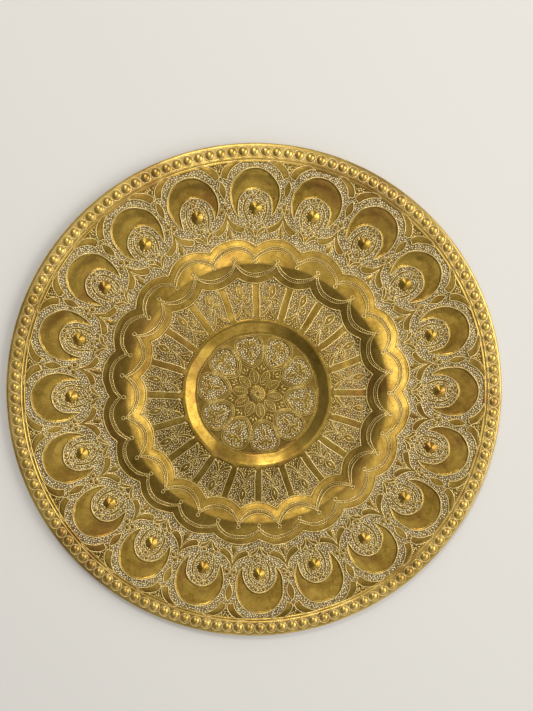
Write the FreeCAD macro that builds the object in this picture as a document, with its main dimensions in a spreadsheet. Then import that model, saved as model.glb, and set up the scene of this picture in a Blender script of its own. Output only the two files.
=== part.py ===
import FreeCAD, Part
import math
import os

import Sketcher
from FreeCAD import Placement, Rotation, Vector

# A large chased brass charger: one raised sheet, its edge rolled round a stiffening wire.
#
# The dish lies flat, face up, on the ring round its sunk middle and on its valley. +Z is its axis,
# and z = 0 is what it rests on. From the middle outwards it has a medallion in a short wall, a panel
# ring that falls away to a valley, a rounded ridge with a lobed rope on it, a ledge, a rising band of
# crescents with a boss in each, and a beaded rim that falls away to the rolled edge.
# Every ring has its own width, so the rings stay joined when one of them changes.
# The small repeated forms are drawn with a few flats each, and the rings between the valley and the
# bead land with a few flats to each lobe, which keeps the whole part light.

# name, millimetres (or a count, or degrees), what it measures
SIZES = [
    ("sheet_thickness", 1.0, "thickness of the brass sheet"),
    ("medallion_radius", 56.0, "sunk medallion, to the foot of its wall"),
    ("wall_run", 12.6, "width of the wall round the medallion"),
    ("panel_height", 6.0, "top of that wall, above the floor"),
    ("panel_width", 32.4, "width of the panel ring, wall to valley"),
    ("valley_width", 1.3, "flat ground between the panel ring and the ridge"),
    ("crest_run", 18.2, "ridge's inner foot to its crest"),
    ("crest_height", 8.7, "ridge's crest, above the floor"),
    ("lobe_count", 20, "lobes of the rope, and crescents"),
    ("lobe_flats", 6, "flats that one lobe, and its share of each ring round it, is drawn with"),
    ("inner_line_run", 7.4, "ridge's inner foot to the rope's inner line"),
    ("inner_line_swing", 12.4, "rope's inner line, least to greatest radius"),
    ("rope_width", 14.3, "rope, inner to outer line at a crescent's angle"),
    ("outer_line_swing", 11.3, "rope's outer line, least to greatest radius"),
    ("rope_edge", 1.0, "width of the rope's sloping edge"),
    ("rope_relief", 0.8, "height of the rope on the ridge"),
    ("outer_foot_run", 8.1, "rope's outer line to the ridge's outer foot"),
    ("ledge_width", 16.6, "flat ground between the ridge and the crescent band"),
    ("ledge_height", 1.5, "that ground, above the floor"),
    ("band_width", 47.0, "width of the crescent band"),
    ("rim_height", 8.5, "highest ring of the rim, above the floor"),
    ("rim_fall_run", 6.5, "width of the rim's fall to the bead land"),
    ("bead_land_height", 7.0, "ground of the bead row, above the floor"),
    ("bead_land_width", 12.27, "bead land, to above the wire's centre"),
    ("crescent_margin", 1.3, "crescent to the outer edge of its band"),
    ("crescent_radius", 23.5, "outline of the crescent"),
    ("crescent_sides", 10, "flats that the crescent's outline is drawn with"),
    ("crescent_depth", 0.9, "depth of the crescent"),
    ("crescent_wall", 1.0, "sheet beside the sunk crescent, at the back"),
    ("field_radius", 16.0, "round field between the crescent's horns"),
    ("field_sides", 8, "flats that the round field is drawn with"),
    ("field_drop", 10.7, "round field's centre, inwards from the crescent's"),
    ("boss_drop", 11.9, "boss's centre, inwards from the crescent's"),
    ("boss_radius", 5.7, "foot of the boss"),
    ("boss_height", 2.6, "height of the boss"),
    ("boss_sides", 7, "flats round the boss"),
    ("bead_inset", 6.9, "bead row, outwards from the start of its land"),
    ("bead_radius", 3.3, "foot of a bead"),
    ("bead_height", 1.6, "height of a bead"),
    ("bead_spacing", 3.58, "gap between two beads"),
    ("bead_sides", 5, "flats round a bead"),
    ("daisy_radius", 7.5, "low mound in the middle of the medallion"),
    ("daisy_height", 1.2, "height of its middle"),
    ("daisy_sides", 12, "flats round it"),
    ("root", 0.4, "part of a bead, boss or mound that is sunk in the sheet"),
    ("wire_radius", 1.4, "stiffening wire, centre to a flat"),
    ("wire_clearance", 0.05, "wire to the roll round it"),
    ("hole_inset", 2.1, "hanging hole, outwards from the start of the bead land"),
    ("hole_radius", 1.5, "hanging hole"),
    ("hole_angle", -74.7, "hanging hole, degrees from +X"),
]

doc = FreeCAD.newDocument("BrassCharger")
sheet = doc.addObject("Spreadsheet::Sheet", "Sizes")
for row, (name, value, meaning) in enumerate(SIZES, start=1):
    sheet.set(f"A{row}", meaning)
    sheet.set(f"B{row}", str(value))
    sheet.setAlias(f"B{row}", name)
doc.recompute()

# ---- places that several features share, each a sum of named sizes ----
NOTHING = "sheet_thickness -sheet_thickness"
FLOOR = "sheet_thickness"
WALL_TOP = "medallion_radius wall_run"
PANEL_FOOT = WALL_TOP + " panel_width"
INNER_FOOT = PANEL_FOOT + " valley_width"
INNER_LINE = INNER_FOOT + " inner_line_run"
OUTER_LINE = INNER_LINE + " rope_width"
OUTER_FOOT = OUTER_LINE + " outer_line_swing outer_foot_run"
BAND_START = OUTER_FOOT + " ledge_width"
BAND_END = BAND_START + " band_width"
BEAD_LAND = BAND_END + " rim_fall_run"
WIRE_CENTRE = BEAD_LAND + " bead_land_width"
WIRE_HEIGHT = "bead_land_height -wire_radius -wire_clearance"
INSIDE_OF_ROLL = "wire_radius wire_clearance"
OUTSIDE_OF_ROLL = INSIDE_OF_ROLL + " sheet_thickness"


def size(name):
    """The number in the sheet's cell of this name."""
    return sheet.get(name)


def total(terms):
    """The sum of named sizes, where a name with a minus before it is taken off."""
    return sum(-size(term[1:]) if term.startswith("-") else size(term) for term in terms.split())


def formula(terms):
    """The same sum, as an expression on the sheet's cells."""
    signed = [f"- 1 mm * Sizes.{term[1:]}" if term.startswith("-") else f"+ 1 mm * Sizes.{term}"
              for term in terms.split()]
    return " ".join(["0 mm"] + signed)


# ---- helpers ----
def bind(thing, **expressions):
    """Tie properties of an object to the sheet. Two underscores stand for a dot."""
    for path, expression in expressions.items():
        thing.setExpression(path.replace("__", "."), expression)
    return thing


def turned(name, corners):
    """A solid of revolution about Z. Each corner of its section is (radius, height), and each of
    those is the terms of a sum, or such a sum with a share of another: (terms, share, terms)."""
    sketch = doc.addObject("Sketcher::SketchObject", name + "_section")
    sketch.Placement = Placement(Vector(), Rotation(Vector(1, 0, 0), 90))
    full = [[part if isinstance(part, tuple) else (part, 0.0, NOTHING) for part in corner] for corner in corners]
    spots = [Vector(*[total(base) + share * total(more) for base, share, more in corner]) for corner in full]
    for start, end in zip(spots, spots[1:] + spots[:1]):
        sketch.addGeometry(Part.LineSegment(start, end))
    for index, (across, up) in enumerate(full):
        before = (index - 1) % len(full)
        sketch.addConstraint(Sketcher.Constraint("Coincident", before, 2, index, 1))
        for kind, (base, share, more), length in (("X", across, spots[index].x), ("Y", up, spots[index].y)):
            number = sketch.addConstraint(Sketcher.Constraint("Distance" + kind, -1, 1, index, 1, length))
            sketch.setExpression(f"Constraints[{number}]", f"{formula(base)} + {share} * ({formula(more)})")
    solid = doc.addObject("Part::Revolution", name)
    solid.Source = sketch
    solid.Axis = Vector(0, 0, 1)
    solid.Angle = 360
    solid.Solid = True
    return solid


def ring_of(name, source, count, seat):
    """Copies of a solid round Z. The first is seated in the XZ plane."""
    doc.recompute()
    copies = []
    for step in range(count):
        turn = Placement(Vector(), Rotation(Vector(0, 0, 1), 360.0 * step / count))
        copy = source.Shape.copy()
        copy.Placement = turn.multiply(seat).multiply(copy.Placement)
        copies.append(copy)
    ring = doc.addObject("Part::Feature", name)
    ring.Shape = Part.makeCompound(copies)
    return ring


def flat_face(*corners):
    return Part.Face(Part.makePolygon(list(corners) + [corners[0]]))


def mound(name, sides, radius, height):
    """A low mound with flat sides that meet in its top. It is sunk by the size called root."""
    top = Vector(0, 0, size(height))
    turns = [2 * math.pi * side / size(sides) for side in range(int(size(sides)))]
    foot = [Vector(size(radius) * math.cos(turn), size(radius) * math.sin(turn), -size("root")) for turn in turns]
    flanks = [flat_face(corner, after, top) for corner, after in zip(foot, foot[1:] + foot[:1])]
    solid = doc.addObject("Part::Feature", name)
    solid.Shape = Part.makeSolid(Part.makeShell(flanks + [flat_face(*foot[::-1])]))
    return solid


def joined(name, *pieces):
    """Solids that overlap, fused into one."""
    whole = doc.addObject("Part::MultiFuse", name)
    whole.Shapes = list(pieces)
    return whole


def cut(name, base, tool):
    """A solid less another."""
    rest = doc.addObject("Part::Cut", name)
    rest.Base = base
    rest.Tool = tool
    return rest


def face_key(face):
    """The same for two faces only where they lie on each other."""
    middle = face.CenterOfMass
    return round(middle.x, 3), round(middle.y, 3), round(middle.z, 3), round(face.Area, 2)


def sewn(name, pieces):
    """One solid from sheets that meet edge to edge. Each pair of faces in which two of them meet
    is left out, and the faces that remain are sewn into one closed skin."""
    doc.recompute()
    faces = {}
    for piece in pieces:
        for face in piece.Shape.Faces:
            faces.setdefault(face_key(face), []).append(face)
    skin = Part.makeShell([same[0] for same in faces.values() if len(same) == 1])
    skin.sewShape()
    whole = doc.addObject("Part::Feature", name)
    whole.Shape = Part.makeSolid(skin)
    return whole


# ---- the ridge with its lobed rope, the ledge and the crescent band ----
def corners_round():
    """How many corners the closed lines of these rings have."""
    return int(size("lobe_count")) * int(size("lobe_flats"))


def scalloped(start, swing, outward):
    """A scalloped line as a list of radii, from a crescent's angle on. Each lobe is the arc through
    its two cusps and its middle. Outward lobes bulge from the axis, with cusps at the crescents'
    angles. Inward ones bulge towards it, with cusps half a lobe further round."""
    half_lobe = math.pi / size("lobe_count")
    flats = int(size("lobe_flats"))
    least = total(start)
    greatest = least + size(swing)
    cusp, middle = (least, greatest) if outward else (greatest, least)
    rise = middle - cusp * math.cos(half_lobe)
    arc = ((cusp * math.sin(half_lobe)) ** 2 + rise**2) / (2 * rise)
    centre = middle - arc
    radii = []
    for step in range(corners_round()):
        share = (step % flats) / flats
        from_middle = half_lobe * ((2 * share - 1) if outward else 2 * min(share, 1 - share))
        chord = math.sqrt(arc**2 - (centre * math.sin(from_middle)) ** 2)
        radii.append(centre * math.cos(from_middle) + math.copysign(chord, arc))
    return radii


def ridge_level(radius):
    """Height of the rounded ridge at a radius. It swells from the valley to the crest and falls
    to the ledge."""
    crest_radius = total(INNER_FOOT + " crest_run")
    if radius < crest_radius:
        foot_radius, foot_level = total(INNER_FOOT), total(FLOOR)
    else:
        foot_radius, foot_level = total(OUTER_FOOT), total(FLOOR + " ledge_height")
    share = (radius - crest_radius) / (foot_radius - crest_radius)
    return foot_level + (total(FLOOR + " crest_height") - foot_level) * math.cos(share * math.pi / 2) ** 2


def closed_line(radii, levels):
    """The corners of a closed line round the axis."""
    step = 2 * math.pi / len(radii)
    return [Vector(radius * math.cos(i * step), radius * math.sin(i * step), level)
            for i, (radius, level) in enumerate(zip(radii, levels))]


def line_on_ridge(radii, raised=0.0):
    """A closed line that lies on the ridge, or is raised above it."""
    return closed_line(radii, [ridge_level(radius) + raised for radius in radii])


def even_line(radius, level):
    """A closed line of one radius at one level, each given as the terms of a sum."""
    return closed_line([total(radius)] * corners_round(), [total(level)] * corners_round())


def strip(line, other, upright=False):
    """Flat faces between two closed lines: one to each side where it stands upright, else two."""
    faces = []
    for a, b, c, d in zip(line, line[1:] + line[:1], other[1:] + other[:1], other):
        faces += [flat_face(a, b, c, d)] if upright else [flat_face(a, b, c), flat_face(a, c, d)]
    return faces


def make_rings():
    """The sheet from the valley to the bead land. Its face is a run of strips between closed
    lines, and its back is that face one thickness lower, without the rope's sloping edges."""
    inner_line = scalloped(INNER_LINE, "inner_line_swing", outward=False)
    outer_line = scalloped(OUTER_LINE, "outer_line_swing", outward=True)
    edge = size("rope_edge")
    relief = size("rope_relief")
    inner_foot = even_line(INNER_FOOT, FLOOR)
    inner_base = line_on_ridge(inner_line)
    inner_top = line_on_ridge([radius + edge for radius in inner_line], relief)
    rope_middle = line_on_ridge([(inside + outside) / 2 for inside, outside in zip(inner_line, outer_line)], relief)
    outer_top = line_on_ridge([radius - edge for radius in outer_line], relief)
    outer_base = line_on_ridge(outer_line)
    beyond_ridge = [
        even_line(OUTER_FOOT, FLOOR + " ledge_height"),
        even_line(BAND_START, FLOOR + " ledge_height"),
        even_line(BAND_END, FLOOR + " rim_height"),
        even_line(BEAD_LAND, FLOOR + " bead_land_height"),
    ]
    face_lines = [inner_foot, inner_base, inner_top, rope_middle, outer_top, outer_base] + beyond_ridge
    down = Vector(0, 0, -size("sheet_thickness"))
    back_lines = [[corner + down for corner in line]
                  for line in [inner_foot, inner_base, rope_middle, outer_base] + beyond_ridge]
    faces = []
    for lines in (face_lines, back_lines):
        for line, after in zip(lines, lines[1:]):
            faces += strip(line, after)
    for end in (0, -1):
        faces += strip(face_lines[end], back_lines[end], upright=True)
    plain = doc.addObject("Part::Feature", "plain_rings")
    plain.Shape = Part.makeSolid(Part.makeShell(faces)).removeSplitter()
    return cut("rings", joined("rings_with_bosses", plain, make_bosses(), make_backs()), make_hollows())


def prism_at(name, radius):
    """A tall solid with a flat for each flat of the rings, which stands in one of their ends."""
    foot = even_line(radius, "-rim_height")
    prism = doc.addObject("Part::Feature", name)
    prism.Shape = flat_face(*foot).extrude(Vector(0, 0, 3 * size("rim_height")))
    return prism


def seat_on_band(inwards):
    """Where a form sits on the crescent band: on its surface and square to it, at a distance
    inwards from the crescents' centres."""
    slope = math.atan2(size("rim_height") - size("ledge_height"), size("band_width"))
    from_edge = size("crescent_margin") + size("crescent_radius") + inwards
    spot = Vector(total(BAND_END) - from_edge * math.cos(slope), 0,
                  total(FLOOR + " rim_height") - from_edge * math.sin(slope))
    return Placement(spot, Rotation(Vector(0, 1, 0), -math.degrees(slope)))


def make_bosses():
    boss = mound("boss", "boss_sides", "boss_radius", "boss_height")
    return ring_of("bosses", boss, int(size("lobe_count")), seat_on_band(size("boss_drop")))


def make_crescents(name, level, wall, height):
    """A ring of crescent prisms. Each is a round outline less the round field between its horns,
    starts at a level under the band's face, and is larger all round by a wall."""
    outline = doc.addObject("Part::Prism", name + "_outline")
    bind(outline, Polygon="Sizes.crescent_sides", Circumradius=f"Sizes.crescent_radius + {wall}", Height=height)
    field = doc.addObject("Part::Prism", name + "_field")
    bind(field, Polygon="Sizes.field_sides", Circumradius=f"Sizes.field_radius - {wall}", Height=f"3 * {height}")
    bind(field, Placement__Base__x="-1 mm * Sizes.field_drop", Placement__Base__z=f"-1 mm * {height}")
    crescent = cut(name + "_prism", outline, field)
    sunk = seat_on_band(0.0).multiply(Placement(Vector(0, 0, level), Rotation()))
    return ring_of(name, crescent, int(size("lobe_count")), sunk)


def make_hollows():
    return make_crescents("hollows", -size("crescent_depth"), "0", "Sizes.rim_height")


def make_backs():
    """The sheet that each sunk crescent pushes out at the back."""
    lowest = -size("crescent_depth") - size("sheet_thickness")
    return make_crescents("backs", lowest, "Sizes.crescent_wall", "1.5 * Sizes.sheet_thickness")


# ---- the middle: medallion, wall, panel ring and valley ----
def make_middle():
    past_foot = INNER_FOOT + " sheet_thickness"
    ground = turned("middle_ground", [
        (NOTHING, NOTHING),
        ("medallion_radius", NOTHING),
        (WALL_TOP, "panel_height"),
        (PANEL_FOOT, NOTHING),
        (past_foot, NOTHING),
        (past_foot, FLOOR),
        (PANEL_FOOT, FLOOR),
        (WALL_TOP, FLOOR + " panel_height"),
        ("medallion_radius", FLOOR),
        (NOTHING, FLOOR),
    ])
    daisy = mound("daisy", "daisy_sides", "daisy_radius", "daisy_height")
    seated = ring_of("seated_daisy", daisy, 1, Placement(Vector(0, 0, total(FLOOR)), Rotation()))
    middle = doc.addObject("Part::Common", "middle")
    middle.Base = joined("middle_with_daisy", ground, seated)
    middle.Tool = prism_at("inner_prism", INNER_FOOT)
    return middle


# ---- the rim: bead land and roll ----
def make_beads():
    bead = mound("bead", "bead_sides", "bead_radius", "bead_height")
    radius = total(BEAD_LAND + " bead_inset")
    count = int(2 * math.pi * radius / (2 * size("bead_radius") + size("bead_spacing")))
    seat = Placement(Vector(radius, 0, total(FLOOR + " bead_land_height")), Rotation())
    print("beads:", count)
    return ring_of("beads", bead, count, seat)


def make_hanging_hole():
    hole = doc.addObject("Part::Cylinder", "hanging_hole")
    bind(hole, Radius="Sizes.hole_radius", Height="2 * Sizes.rim_height")
    angle = math.radians(size("hole_angle"))
    radius = total(BEAD_LAND + " hole_inset")
    hole.Placement = Placement(Vector(radius * math.cos(angle), radius * math.sin(angle), 0), Rotation())
    return hole


def make_rim():
    """The roll at the edge has six flats, is open on its inner side above the wire's middle, and
    holds the wire with a small clearance."""
    corner = 1 / math.cos(math.radians(30))
    half_flat = math.tan(math.radians(30))
    way_round = [(half_flat, 1), (corner, 0), (half_flat, -1), (-half_flat, -1), (-corner, 0)]
    outside, inside = [
        [((WIRE_CENTRE, across, reach), (WIRE_HEIGHT, up, reach)) for across, up in way_round]
        for reach in (OUTSIDE_OF_ROLL, INSIDE_OF_ROLL)
    ]
    before_land = BEAD_LAND + " -sheet_thickness"
    ground = turned("rim_ground", [
        (before_land, FLOOR + " bead_land_height"),
        *outside,
        *inside[::-1],
        (before_land, "bead_land_height"),
    ])
    inside_land = joined("rim_tools", make_hanging_hole(), prism_at("outer_prism", BEAD_LAND))
    return cut("rim", joined("beaded_rim", ground, make_beads()), inside_land)


# ---- the plate ----
def make_plate():
    plate = sewn("plate", [make_middle(), make_rings(), make_rim()])
    plate.Label = "plate"
    return plate


# ---- the wire ----
def make_rim_wire():
    """A closed hoop of wire with six flats, which lies in the roll of the rim."""
    section = doc.addObject("Part::RegularPolygon", "wire_section")
    section.Polygon = 6
    section.Placement.Rotation = Rotation(Vector(1, 0, 0), 90)
    bind(section, Circumradius="Sizes.wire_radius / cos(30 deg)")
    bind(section, Placement__Base__x=formula(WIRE_CENTRE), Placement__Base__z=formula(WIRE_HEIGHT))
    wire = doc.addObject("Part::Revolution", "rim_wire")
    wire.Label = "rim_wire"
    wire.Source = section
    wire.Axis = Vector(0, 0, 1)
    wire.Angle = 360
    wire.Solid = True
    return wire


nodes = [make_plate(), make_rim_wire()]
doc.recompute()

# ---- checks, then one STEP file for each piece ----
for thing in doc.Objects:
    if "Invalid" in thing.State or "Error" in thing.State:
        raise RuntimeError(f"{thing.Name} failed: {thing.State}")
os.makedirs("parts", exist_ok=True)
for node in nodes:
    shape = node.Shape
    if shape.isNull() or not shape.isValid() or len(shape.Solids) != 1:
        raise RuntimeError(f"{node.Label} is not one valid solid")
    box = shape.BoundBox
    print(f"{node.Label}: {shape.Volume / 1000:.1f} cm3, {box.XLength:.1f} x {box.YLength:.1f} x {box.ZLength:.1f} mm")
    shape.exportStep(f"parts/{node.Label}.step")
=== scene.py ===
# %% [markdown]
# # A chased brass charger
# A charger is a big shallow dish made to be looked at. This one is a single brass sheet. Its large
# forms are hammered up from behind, then every line and dot is punched from the front over pitch,
# and at last the edge is rolled round a wire. The lesson follows that order: first the dish's own
# section, then the drawing of each ring, then one sector of relief that Geometry Nodes repeat round
# the axis, then the fine lines and punch marks laid on it, and the old brass itself.
#
# The first step loads the construction model. Its box says how large everything may be.

# %% Load the frame
import math

import bpy
import numpy as np
from mathutils import Matrix, Vector


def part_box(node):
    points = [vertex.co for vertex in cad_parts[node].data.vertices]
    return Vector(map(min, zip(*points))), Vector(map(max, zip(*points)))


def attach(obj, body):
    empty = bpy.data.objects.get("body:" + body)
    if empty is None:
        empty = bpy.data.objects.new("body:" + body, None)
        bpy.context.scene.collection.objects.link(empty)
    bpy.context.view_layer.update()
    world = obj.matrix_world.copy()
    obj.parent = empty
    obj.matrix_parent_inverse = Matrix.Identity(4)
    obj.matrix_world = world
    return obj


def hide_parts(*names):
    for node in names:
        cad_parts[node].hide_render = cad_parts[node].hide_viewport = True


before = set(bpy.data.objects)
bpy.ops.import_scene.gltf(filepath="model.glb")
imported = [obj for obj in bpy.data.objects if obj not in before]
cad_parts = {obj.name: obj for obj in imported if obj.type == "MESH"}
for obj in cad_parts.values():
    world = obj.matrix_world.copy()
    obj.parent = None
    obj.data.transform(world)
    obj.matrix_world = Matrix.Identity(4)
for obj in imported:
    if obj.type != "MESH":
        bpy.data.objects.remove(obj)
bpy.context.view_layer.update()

plate_low, plate_high = (Vector(corner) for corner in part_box("plate"))
wire_low, wire_high = (Vector(corner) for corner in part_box("rim_wire"))
MM = 0.001
RIM_RADIUS = (plate_high.x - plate_low.x) / 2 / MM
WIRE_LEVEL = (wire_low.z + wire_high.z) / 2 / MM
print("plate radius", round(RIM_RADIUS, 2), "mm, wire level", round(WIRE_LEVEL, 2), "mm")


# %% Helpers for objects and meshes
def placed(name, data):
    """A new object in the scene."""
    thing = bpy.data.objects.new(name, data)
    bpy.context.scene.collection.objects.link(thing)
    return thing


def new_mesh(name, points, edges=(), faces=(), smooth=(), material=None):
    """A mesh from points in millimetres. The list called smooth has one truth for each face."""
    mesh = bpy.data.meshes.new(name)
    mesh.from_pydata((np.asarray(points) * MM).tolist(), edges, faces)
    if smooth:
        mesh.polygons.foreach_set("use_smooth", smooth)
    if material:
        mesh.materials.append(material)
    return mesh


# %% [markdown]
# ## Where the viewer stands
# The dish is seen almost straight on, from a little above its middle. The camera is placed by its
# distance and its lean away from the dish's axis, and turned to look at a point beside the middle.

# %% Camera
CAMERA_DISTANCE = 754 * MM
LEAN_RIGHT, LEAN_UP, ROLL = (math.radians(angle) for angle in (-1.77, 6.67, -0.6))
LOOK_AT = Vector((9.2 * MM, 35.4 * MM, 0))

towards_camera = Vector((math.tan(LEAN_RIGHT), math.tan(LEAN_UP), 1)).normalized()
camera = placed("camera", bpy.data.cameras.new("camera"))
camera.location = towards_camera * CAMERA_DISTANCE
forward = (LOOK_AT - camera.location).normalized()
right = forward.cross(Vector((0, 1, 0))).normalized()
up = right.cross(forward)
roll = Matrix.Rotation(ROLL, 3, "Z")
camera.rotation_euler = (Matrix((right, up, -forward)).transposed() @ roll).to_euler()
camera.data.lens = 41.0
camera.data.sensor_width = 36
camera.data.clip_start = 0.01
bpy.context.scene.camera = camera

# %% [markdown]
# ## The dish's section
# A section is how a spinner would draw the dish: its height at each distance from the middle. The
# sunk medallion is slightly domed, its wall rises to a rounded crest, the panel ring falls away to a
# valley, a rounded ridge follows, then a ledge, the band of crescents that climbs outwards, and the
# rim that falls away to the roll. A few points joined by straight lines and then smoothed give the
# soft corners that a hammered sheet has. The sheet is made in rings, whose outer radii are named here.

# %% Section
SECTION = [
    (0, 1.7), (25, 1.6), (42, 1.35), (53, 1.1), (57, 1.05), (66.2, 6.8), (68.4, 7.0), (71, 6.7),
    (100.5, 1.1), (103, 1.1), (108, 3.4), (114.5, 7.9), (119.5, 9.95), (123, 9.15), (128.5, 7.4),
    (134, 5.4), (140, 2.9), (145, 2.45), (160, 2.6), (172, 3.7), (182, 5.1), (192, 7.0), (200, 8.9),
    (204, 9.4), (208, 9.5), (212, 9.25), (216, 8.9), (220, 8.6), (223, 8.45), (225.8, 8.35), (230, 8.0),
]
SMOOTHED_OVER = 3.0
SAMPLE = 0.1
radii = np.arange(0, SECTION[-1][0] + 2, SAMPLE)
window = np.hanning(int(SMOOTHED_OVER / SAMPLE) | 1)
padded = np.pad(np.interp(radii, *zip(*SECTION)), len(window) // 2, mode="edge")
heights = np.convolve(padded, window / window.sum(), mode="valid")


def face_level(radius):
    """Height of the plain dish's face, in millimetres, at a distance from its axis."""
    return np.interp(radius, radii, heights)


WALL, CREST_END, VALLEY, RIDGE_END, LEDGE = 56.4, 70.0, 102.4, 134.2, 153.4
BOSSES_END, FIELDS_END, BAND_END = 172.6, 191.8, 211.0
print("face: middle", round(float(face_level(0)), 2), "crest", round(float(heights.max()), 2), "mm")

# %% [markdown]
# ## Drawing with outlines
# Chasers draw with outlines. Each form here is an outline in millimetres in the plane of the dish,
# with the dish's middle at the origin and +Y through the middle of one crescent. A smooth curve
# through a few points is enough for a leaf. Most forms are the same on both sides of an axis, so one
# helper closes a form from its half, and another makes a form and its mirror image. Forms that sit
# midway between two crescents are drawn upright and then turned by half a unit.

# %% Outlines
UNITS = 20
PITCH = 2 * math.pi / UNITS
HALF = PITCH / 2
STEP = 1.1


def turned_by(points, angle):
    """Points turned clockwise round the middle."""
    x, y = np.asarray(points, float).T
    cos, sin = math.cos(angle), math.sin(angle)
    return np.stack([x * cos + y * sin, y * cos - x * sin], 1)


def curve(points, closed=False, step=STEP):
    """A smooth line through a few points, with corners where a point is given twice."""
    points = [np.asarray(point, float) for point in points]
    count = len(points)
    line = []
    for index in range(count if closed else count - 1):
        a, b = points[index], points[(index + 1) % count]
        if np.allclose(a, b):
            continue
        before = points[index - 1] if (index or closed) else a
        after = points[(index + 2) % count] if (index + 2 < count or closed) else b
        lead = b - a if np.allclose(before, a) else (b - before) / 2
        trail = b - a if np.allclose(after, b) else (after - a) / 2
        steps = max(2, int(np.linalg.norm(b - a) / step + 0.5))
        for t in np.arange(steps) / steps:
            line.append((2 * t**3 - 3 * t**2 + 1) * a + (t**3 - 2 * t**2 + t) * lead
                        + (3 * t**2 - 2 * t**3) * b + (t**3 - t**2) * trail)
    if not closed:
        line.append(points[-1])
    return np.array(line)


def mirrored(points):
    """The same points on the other side of the Y axis, in the opposite order."""
    return [(-x, y) for x, y in reversed(points)]


def whole(half):
    """A closed form from one half of it, which starts and ends on the Y axis."""
    return curve(half + mirrored(half)[1:-1], closed=True)


def pair(points, closed=True, step=STEP):
    """A form beside the Y axis, and its mirror image."""
    return [curve([(side * x, y) for x, y in points], closed, step) for side in (1, -1)]


def circle(x, y, radius, count=None):
    """Points round a circle."""
    count = count or max(8, int(2 * math.pi * radius / STEP))
    turn = np.arange(count) * 2 * math.pi / count
    return np.stack([x + radius * np.cos(turn), y + radius * np.sin(turn)], 1)


def scallop(cusp, middle):
    """One lobe of a scalloped line, between two cusps half a unit to each side of the Y axis."""
    side, low = cusp * math.sin(HALF), cusp * math.cos(HALF)
    rise = middle - low
    arc = (side**2 + rise**2) / (2 * rise)
    reach = math.asin(min(1.0, side / abs(arc)))
    turn = np.linspace(-reach, reach, max(6, int(2 * side / STEP)))
    return np.stack([abs(arc) * np.sin(turn), middle - arc + arc * np.cos(turn)], 1)


# %% [markdown]
# ## The drawing of one unit
# Seven lists hold the drawing. A leaf is a smooth form left standing while the ground round it is
# punched down. A hollow is a smooth form sunk below its edge, and a groove is a narrow dark one. A
# line is a fine raised line, a dot is a small round button with a ring round it, a row is a line of
# tiny beads, and a grain is a single one. Everything that no other form covers is ground.

# %% Lists for the drawing
class Drawing:
    """The forms of one unit. Each outline is an array of points."""

    def __init__(self, units):
        self.units = units
        self.leaves, self.hollows, self.grooves = [], [], []
        self.lines, self.dots, self.rows, self.grains = [], [], [], []

    def leaf(self, outline, turn=0.0, edge=1.0):
        """A leaf, with a line of some width round it, or with none where the width is nought."""
        outline = turned_by(outline, turn)
        self.leaves.append(outline)
        if edge:
            self.line(outline, closed=True, width=edge)

    def line(self, outline, turn=0.0, closed=False, width=1.0):
        self.lines.append((turned_by(outline, turn), closed, width))

    def dot(self, x, y, radius, turn=0.0):
        self.dots.append((*turned_by([(x, y)], turn)[0], radius))

    def row(self, outline, turn=0.0, pitch=1.7, size=0.6):
        self.rows.append((turned_by(outline, turn), pitch, size))

    def grain(self, x, y, size, turn=0.0):
        self.grains.append((*turned_by([(x, y)], turn)[0], size))


# %% [markdown]
# ### The crescent band
# A crescent opens towards the middle of the dish and holds a round field. In the field a pointed
# boss stands in two collars of tiny beads between two dark grooves, with three buttons above and
# three below. Shoulders run down both sides to the axis midway between two crescents. A slender
# leaf, a trefoil of three buttons, a leaf like a tent and two curled leaves follow on that axis. On
# each axis a small leaf lies beside the ridge.

# %% Draw the crescent band
BOSS_SPOT, BOSS_REACH = (0.0, 170.6), 5.6

band = Drawing(UNITS)
crescent_edge = [(0, 205.9), (8.8, 204.2), (16.2, 199.1), (21.2, 191.6), (22.7, 183.3), (22.0, 176.0),
                 (19.7, 169.6), (17.0, 165.2), (14.8, 162.8)]
field_edge = [(14.8, 162.8), (15.1, 167.5), (15.0, 172.3), (13.9, 178.0), (10.8, 182.7), (5.9, 186.2),
              (0, 187.4)]
band.crescent = whole(crescent_edge + field_edge)
band.hollows.append(band.crescent)
band.line(band.crescent, closed=True, width=1.15)
shoulder = [(11.0, 211.0), (14.8, 209.4), (19.6, 205.8), (23.3, 201.2), (25.2, 196.2), (25.2, 196.2),
            (26.7, 195.6), (27.7, 196.7), (29.2, 196.2), (30.9, 198.2), (30.9, 198.2), (29.7, 202.8),
            (26.3, 207.4), (20.8, 211.2), (20.8, 211.2), (16.0, 212.4), (11.0, 211.0)]
for form in pair(shoulder):
    band.leaf(form)
outer_side = [(3.2, 183.0), (7.8, 179.6), (10.6, 174.0), (10.8, 167.2), (8.8, 160.6), (4.6, 155.8)]
inner_side = [(4.6, 155.8), (7.0, 161.6), (8.8, 167.6), (8.6, 173.4), (6.4, 178.6), (3.2, 183.0)]
for groove, outer, inner in zip(pair(outer_side[:1] + outer_side + inner_side[:-1]),
                                pair(outer_side, closed=False), pair(inner_side, closed=False)):
    band.grooves.append(groove)
    band.line(outer, width=0.75)
    band.line(inner, width=0.65)
for spot in ((3.6, 184.5), (-3.6, 184.5), (0, 180.6), (0, 157.9), (4.0, 153.9), (-4.0, 153.9)):
    band.dot(*spot, 1.75)
for wide, tall in ((6.4, 7.0), (7.7, 9.2)):
    collar = circle(0, 0, 1, 48) * (wide, tall) + (0, 170.0)
    band.row(np.vstack([collar, collar[:1]]), pitch=1.5, size=0.5)
slender = [(0, 196.3), (0, 196.3), (1.9, 193.4), (3.1, 189.6), (2.9, 186.2), (1.6, 182.8), (0, 180.0),
           (0, 180.0)]
band.leaf(whole(slender), HALF)
band.line(curve([(0, 180.0), (0, 175.0)]), HALF)
for spot in ((0, 173.0), (3.5, 169.1), (-3.5, 169.1)):
    band.dot(*spot, 2.2, HALF)
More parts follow.
